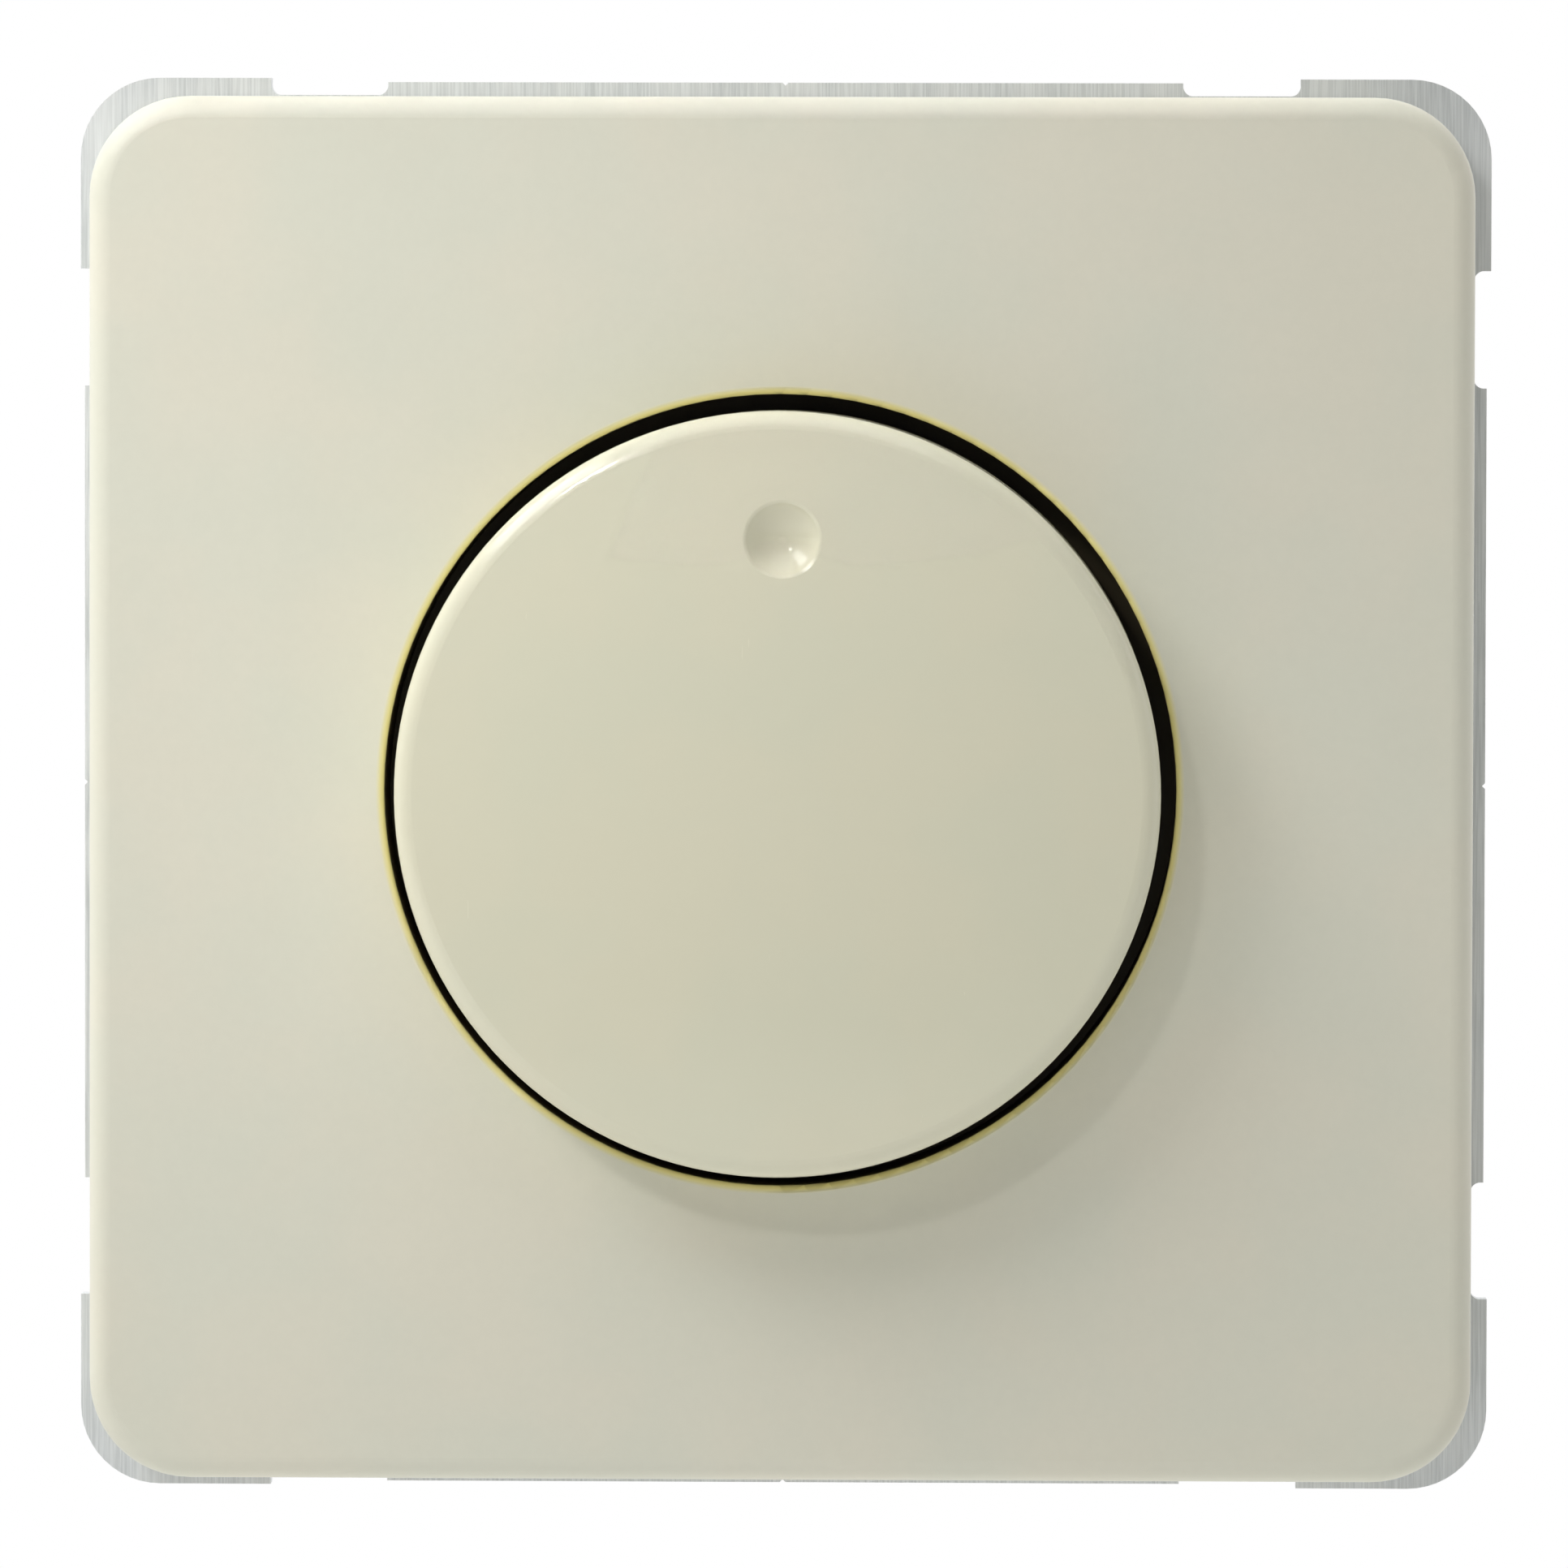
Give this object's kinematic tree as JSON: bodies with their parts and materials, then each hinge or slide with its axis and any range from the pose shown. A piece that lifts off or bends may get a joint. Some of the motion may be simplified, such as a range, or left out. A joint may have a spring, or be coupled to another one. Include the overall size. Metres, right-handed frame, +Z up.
{
  "type": "flush-mounted rotary push dimmer",
  "caption": "Square flush-mounted dimmer with a round turn-and-push knob, index dimple, metal support frame, box claws and rear screw terminals.",
  "frame": {"origin": "on the knob axis in the wall plane, which is the back face of the support frame", "axes": "-Y out of the wall towards the user, +Z up, +X to the right seen from the front"},
  "size_m": [0.071, 0.0393, 0.071],
  "materials": {
    "galvanised_steel": "brushed",
    "cream_plate": "satin",
    "cream_knob": "gloss",
    "zinc_steel": "satin",
    "spring_steel": "satin",
    "turned_aluminium": "turned",
    "die_cast_zinc": "cast",
    "pot_shell_plastic": "matte",
    "rotor_plastic": "matte",
    "contact_brass": "satin",
    "phenolic_wafer": "matte",
    "resistive_carbon": "matte",
    "tinned_copper": "satin",
    "sheet_aluminium": "rolled",
    "mica_pad": "matte",
    "nickel_tab": "satin",
    "epoxy_black": "matte",
    "board_laminate": "matte",
    "ferrite": "painted",
    "enamelled_copper": "gloss",
    "capacitor_yellow": "gloss",
    "capacitor_sleeve": "gloss",
    "resistor_lacquer": "gloss",
    "diac_glass": "gloss",
    "trimmer_blue": "matte",
    "trimmer_white": "matte",
    "fuse_tube_glass": "clear",
    "switch_black": "matte",
    "plunger_white": "matte",
    "terminal_plastic": "matte",
    "clamp_brass": "nickel plated",
    "housing_plastic": "matte",
    "cover_plastic": "matte"
  },
  "bodies": {
    "root": {"centre_plate": "cream_plate", "choke_core": "ferrite", "choke_winding": "enamelled_copper", "circuit_board": "board_laminate", "claw_pins": "zinc_steel", "diac": "diac_glass", "film_capacitor": "capacitor_yellow", "fixed_contacts": "contact_brass", "fuse_caps": "nickel_tab", "fuse_clips": "tinned_copper", "fuse_glass": "fuse_tube_glass", "fuse_wire": "tinned_copper", "heat_spreader": "sheet_aluminium", "housing_base": "housing_plastic", "housing_cover": "cover_plastic", "housing_screws": "zinc_steel", "insulating_sheet": "mica_pad", "plate_nut": "zinc_steel", "plate_washer": "zinc_steel", "pot_body": "pot_shell_plastic", "pot_bushing": "die_cast_zinc", "pot_pins": "tinned_copper", "pot_wafer": "phenolic_wafer", "resistive_track": "resistive_carbon", "resistors": "resistor_lacquer", "smoothing_capacitor": "capacitor_sleeve", "support_frame": "galvanised_steel", "switch_base": "switch_black", "switch_housing": "switch_black", "switch_spring": "spring_steel", "terminal_bars": "contact_brass", "terminal_block": "terminal_plastic", "triac_body": "epoxy_black", "triac_leads": "tinned_copper", "triac_screw": "zinc_steel", "triac_tab": "nickel_tab", "trimmer_body": "trimmer_blue"},
    "rotor": {"pot_rotor": "rotor_plastic", "pot_wiper": "contact_brass"},
    "shaft_knob": {"knob": "cream_knob", "knob_clamp_ring": "spring_steel", "shaft": "turned_aluminium", "shaft_circlip": "spring_steel"},
    "plunger": {"switch_plunger": "plunger_white", "contact_bridge": "contact_brass"},
    "trimmer": {"trimmer_rotor": "trimmer_white"},
    "screw_right": {"claw_screw_right": "zinc_steel"},
    "screw_left": {"claw_screw_left": "zinc_steel"},
    "nut_right": {"claw_nut_right": "zinc_steel"},
    "nut_left": {"claw_nut_left": "zinc_steel"},
    "claw_right": {"claw_right": "zinc_steel"},
    "claw_left": {"claw_left": "zinc_steel"},
    "terminal_screw_1": {"terminal_screw_1": "zinc_steel"},
    "terminal_clamp_1": {"terminal_clamp_1": "clamp_brass"},
    "terminal_screw_2": {"terminal_screw_2": "zinc_steel"},
    "terminal_clamp_2": {"terminal_clamp_2": "clamp_brass"},
    "terminal_screw_3": {"terminal_screw_3": "zinc_steel"},
    "terminal_clamp_3": {"terminal_clamp_3": "clamp_brass"}
  },
  "joints": [
    {"name": "knob_turn", "type": "hinge", "parent": "root", "child": "rotor", "pos_m": [0, 0, 0], "axis": [0, 1, 0], "range_deg": [-140, 140]},
    {"name": "knob_push", "type": "slide", "parent": "rotor", "child": "shaft_knob", "axis": [0, 1, 0], "range_m": [0, 0.0016], "stiffness_N_per_m": 1000, "springref_m": -0.002},
    {"name": "plunger_slide", "type": "slide", "parent": "root", "child": "plunger", "axis": [0, 1, 0], "range_m": [0, 0.0016], "deforming": ["switch_spring"]},
    {"name": "trimmer_turn", "type": "hinge", "parent": "root", "child": "trimmer", "pos_m": [-0.009, 0.0043, -0.015], "axis": [0, 1, 0], "range_deg": [-135, 135]},
    {"name": "claw_nut_right_slide", "type": "slide", "parent": "root", "child": "nut_right", "axis": [0, -1, 0], "range_m": [0, 0.00148]},
    {"name": "claw_screw_right_turn", "type": "hinge", "parent": "root", "child": "screw_right", "pos_m": [0.0252, 0, 0], "axis": [0, 1, 0], "range_deg": [0, 1064.5]},
    {"name": "claw_right_swing", "type": "hinge", "parent": "root", "child": "claw_right", "pos_m": [0.0217, 0.0045, 0], "axis": [0, 0, -1], "range_deg": [0, 28.05]},
    {"name": "claw_nut_left_slide", "type": "slide", "parent": "root", "child": "nut_left", "axis": [0, -1, 0], "range_m": [0, 0.00148]},
    {"name": "claw_screw_left_turn", "type": "hinge", "parent": "root", "child": "screw_left", "pos_m": [-0.0252, 0, 0], "axis": [0, 1, 0], "range_deg": [0, 1064.5]},
    {"name": "claw_left_swing", "type": "hinge", "parent": "root", "child": "claw_left", "pos_m": [-0.0217, 0.0045, 0], "axis": [0, 0, 1], "range_deg": [0, 28.05]},
    {"name": "terminal_clamp_1_slide", "type": "slide", "parent": "root", "child": "terminal_clamp_1", "axis": [0, 0, -1], "range_m": [0, 0.002]},
    {"name": "terminal_screw_1_turn", "type": "hinge", "parent": "root", "child": "terminal_screw_1", "pos_m": [-0.0076, 0.0155, -0.022], "axis": [0, 0, 1], "range_deg": [0, 1441]},
    {"name": "terminal_clamp_2_slide", "type": "slide", "parent": "root", "child": "terminal_clamp_2", "axis": [0, 0, -1], "range_m": [0, 0.002]},
    {"name": "terminal_screw_2_turn", "type": "hinge", "parent": "root", "child": "terminal_screw_2", "pos_m": [0, 0.0155, -0.022], "axis": [0, 0, 1], "range_deg": [0, 1441]},
    {"name": "terminal_clamp_3_slide", "type": "slide", "parent": "root", "child": "terminal_clamp_3", "axis": [0, 0, -1], "range_m": [0, 0.002]},
    {"name": "terminal_screw_3_turn", "type": "hinge", "parent": "root", "child": "terminal_screw_3", "pos_m": [0.0076, 0.0155, -0.022], "axis": [0, 0, 1], "range_deg": [0, 1441]}
  ],
  "couplings": [
    {"joint": "plunger_slide", "follows": "knob_push", "ratio": 1},
    {"joint": "claw_screw_right_turn", "follows": "claw_nut_right_slide", "rad_per_m": 12566},
    {"joint": "claw_right_swing", "follows": "claw_nut_right_slide", "rad_per_m": 330.87},
    {"joint": "claw_screw_left_turn", "follows": "claw_nut_left_slide", "rad_per_m": 12566},
    {"joint": "claw_left_swing", "follows": "claw_nut_left_slide", "rad_per_m": 330.87},
    {"joint": "terminal_screw_1_turn", "follows": "terminal_clamp_1_slide", "rad_per_m": 12566},
    {"joint": "terminal_screw_2_turn", "follows": "terminal_clamp_2_slide", "rad_per_m": 12566},
    {"joint": "terminal_screw_3_turn", "follows": "terminal_clamp_3_slide", "rad_per_m": 12566}
  ]
}
